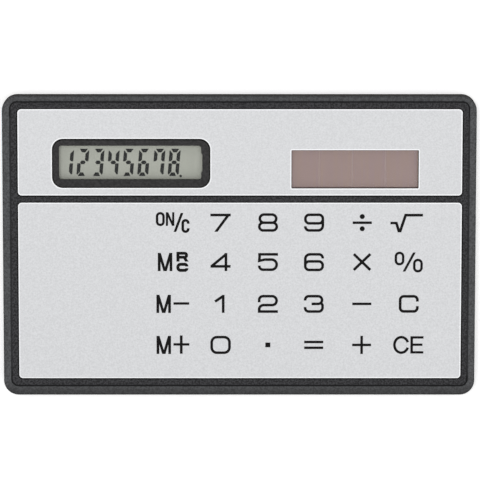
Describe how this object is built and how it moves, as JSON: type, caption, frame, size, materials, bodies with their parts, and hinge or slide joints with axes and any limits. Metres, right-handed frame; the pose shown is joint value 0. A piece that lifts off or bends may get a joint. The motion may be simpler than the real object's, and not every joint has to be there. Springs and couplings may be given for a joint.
{
  "type": "pocket calculator",
  "caption": "Slim card-size pocket calculator with a silver face, keys under one flexible film, a digit display and a solar cell in a dark rounded case.",
  "frame": {"origin": "centre of the back face, which the calculator rests on", "axes": "+X along the length, to the right as the keys are read; +Y towards the display edge; +Z out of the keypad face"},
  "size_m": [0.086, 0.055, 0.0035],
  "materials": {
    "case_plastic": "fine moulded texture",
    "bezel_plastic": "satin rim with a finely textured inner band",
    "carrier_plastic": "plain moulded",
    "silver_sheet": "finely blasted and anodised",
    "silver_film": "silver screen print with a fine grain",
    "screw_steel": "satin",
    "surround_plastic": "satin",
    "lens_plastic": "clear gloss",
    "black_tape": "foam",
    "polariser": "clear tinted film",
    "display_glass": "polished",
    "seal_resin": "cured resin",
    "segment_black": "dark crystal bars",
    "reflector": "grey reflector film",
    "ribbon_amber": "amber film with fine tracks",
    "solar_glass": "polished",
    "solar_silicon": "thin-film silicon",
    "backing_paint": "paint",
    "white_tape": "double-sided foam tape",
    "wire_red": "vinyl",
    "wire_black": "vinyl",
    "board_green": "solder mask",
    "carbon": "printed carbon",
    "chip_resin": "epoxy drop",
    "component_tan": "ceramic body",
    "component_black": "glazed",
    "component_red": "glass body",
    "spacer_white": "polyester film",
    "mat_rubber": "silicone"
  },
  "bodies": {
    "case": {"rear_cover": "case_plastic", "front_bezel": "bezel_plastic", "carrier_plate": "carrier_plastic", "upper_panel": "silver_sheet", "keypad_film": "silver_film", "case_screws": "screw_steel", "display_surround": "surround_plastic", "display_lens": "lens_plastic", "display_tape": "black_tape", "front_polariser": "polariser", "front_glass": "display_glass", "lcd_seal": "seal_resin", "lcd_segments": "segment_black", "rear_glass": "display_glass", "rear_polariser": "reflector", "display_ribbon": "ribbon_amber", "solar_glass": "solar_glass", "solar_cells": "solar_silicon", "solar_backing": "backing_paint", "solar_tape": "white_tape", "solar_wire_positive": "wire_red", "solar_wire_negative": "wire_black", "circuit_board": "board_green", "contact_pads": "carbon", "controller_chip": "chip_resin", "capacitor": "component_tan", "resistors": "component_black", "voltage_diode": "component_red", "spacer_film": "spacer_white", "keypad_mat": "mat_rubber"},
    "key_on_clear": {"key_on_clear": "silver_film"},
    "key_7": {"key_7": "silver_film"},
    "key_8": {"key_8": "silver_film"},
    "key_9": {"key_9": "silver_film"},
    "key_divide": {"key_divide": "silver_film"},
    "key_root": {"key_root": "silver_film"},
    "key_memory_recall": {"key_memory_recall": "silver_film"},
    "key_4": {"key_4": "silver_film"},
    "key_5": {"key_5": "silver_film"},
    "key_6": {"key_6": "silver_film"},
    "key_times": {"key_times": "silver_film"},
    "key_percent": {"key_percent": "silver_film"},
    "key_memory_minus": {"key_memory_minus": "silver_film"},
    "key_1": {"key_1": "silver_film"},
    "key_2": {"key_2": "silver_film"},
    "key_3": {"key_3": "silver_film"},
    "key_minus": {"key_minus": "silver_film"},
    "key_clear": {"key_clear": "silver_film"},
    "key_memory_plus": {"key_memory_plus": "silver_film"},
    "key_0": {"key_0": "silver_film"},
    "key_point": {"key_point": "silver_film"},
    "key_equals": {"key_equals": "silver_film"},
    "key_plus": {"key_plus": "silver_film"},
    "key_clear_entry": {"key_clear_entry": "silver_film"}
  },
  "joints": [
    {"name": "press_on_clear", "type": "slide", "parent": "case", "child": "key_on_clear", "axis": [0, 0, -1], "range_m": [0, 0.00025], "stiffness_N_per_m": 4000},
    {"name": "press_7", "type": "slide", "parent": "case", "child": "key_7", "axis": [0, 0, -1], "range_m": [0, 0.00025], "stiffness_N_per_m": 4000},
    {"name": "press_8", "type": "slide", "parent": "case", "child": "key_8", "axis": [0, 0, -1], "range_m": [0, 0.00025], "stiffness_N_per_m": 4000},
    {"name": "press_9", "type": "slide", "parent": "case", "child": "key_9", "axis": [0, 0, -1], "range_m": [0, 0.00025], "stiffness_N_per_m": 4000},
    {"name": "press_divide", "type": "slide", "parent": "case", "child": "key_divide", "axis": [0, 0, -1], "range_m": [0, 0.00025], "stiffness_N_per_m": 4000},
    {"name": "press_root", "type": "slide", "parent": "case", "child": "key_root", "axis": [0, 0, -1], "range_m": [0, 0.00025], "stiffness_N_per_m": 4000},
    {"name": "press_memory_recall", "type": "slide", "parent": "case", "child": "key_memory_recall", "axis": [0, 0, -1], "range_m": [0, 0.00025], "stiffness_N_per_m": 4000},
    {"name": "press_4", "type": "slide", "parent": "case", "child": "key_4", "axis": [0, 0, -1], "range_m": [0, 0.00025], "stiffness_N_per_m": 4000},
    {"name": "press_5", "type": "slide", "parent": "case", "child": "key_5", "axis": [0, 0, -1], "range_m": [0, 0.00025], "stiffness_N_per_m": 4000},
    {"name": "press_6", "type": "slide", "parent": "case", "child": "key_6", "axis": [0, 0, -1], "range_m": [0, 0.00025], "stiffness_N_per_m": 4000},
    {"name": "press_times", "type": "slide", "parent": "case", "child": "key_times", "axis": [0, 0, -1], "range_m": [0, 0.00025], "stiffness_N_per_m": 4000},
    {"name": "press_percent", "type": "slide", "parent": "case", "child": "key_percent", "axis": [0, 0, -1], "range_m": [0, 0.00025], "stiffness_N_per_m": 4000},
    {"name": "press_memory_minus", "type": "slide", "parent": "case", "child": "key_memory_minus", "axis": [0, 0, -1], "range_m": [0, 0.00025], "stiffness_N_per_m": 4000},
    {"name": "press_1", "type": "slide", "parent": "case", "child": "key_1", "axis": [0, 0, -1], "range_m": [0, 0.00025], "stiffness_N_per_m": 4000},
    {"name": "press_2", "type": "slide", "parent": "case", "child": "key_2", "axis": [0, 0, -1], "range_m": [0, 0.00025], "stiffness_N_per_m": 4000},
    {"name": "press_3", "type": "slide", "parent": "case", "child": "key_3", "axis": [0, 0, -1], "range_m": [0, 0.00025], "stiffness_N_per_m": 4000},
    {"name": "press_minus", "type": "slide", "parent": "case", "child": "key_minus", "axis": [0, 0, -1], "range_m": [0, 0.00025], "stiffness_N_per_m": 4000},
    {"name": "press_clear", "type": "slide", "parent": "case", "child": "key_clear", "axis": [0, 0, -1], "range_m": [0, 0.00025], "stiffness_N_per_m": 4000},
    {"name": "press_memory_plus", "type": "slide", "parent": "case", "child": "key_memory_plus", "axis": [0, 0, -1], "range_m": [0, 0.00025], "stiffness_N_per_m": 4000},
    {"name": "press_0", "type": "slide", "parent": "case", "child": "key_0", "axis": [0, 0, -1], "range_m": [0, 0.00025], "stiffness_N_per_m": 4000},
    {"name": "press_point", "type": "slide", "parent": "case", "child": "key_point", "axis": [0, 0, -1], "range_m": [0, 0.00025], "stiffness_N_per_m": 4000},
    {"name": "press_equals", "type": "slide", "parent": "case", "child": "key_equals", "axis": [0, 0, -1], "range_m": [0, 0.00025], "stiffness_N_per_m": 4000},
    {"name": "press_plus", "type": "slide", "parent": "case", "child": "key_plus", "axis": [0, 0, -1], "range_m": [0, 0.00025], "stiffness_N_per_m": 4000},
    {"name": "press_clear_entry", "type": "slide", "parent": "case", "child": "key_clear_entry", "axis": [0, 0, -1], "range_m": [0, 0.00025], "stiffness_N_per_m": 4000}
  ]
}
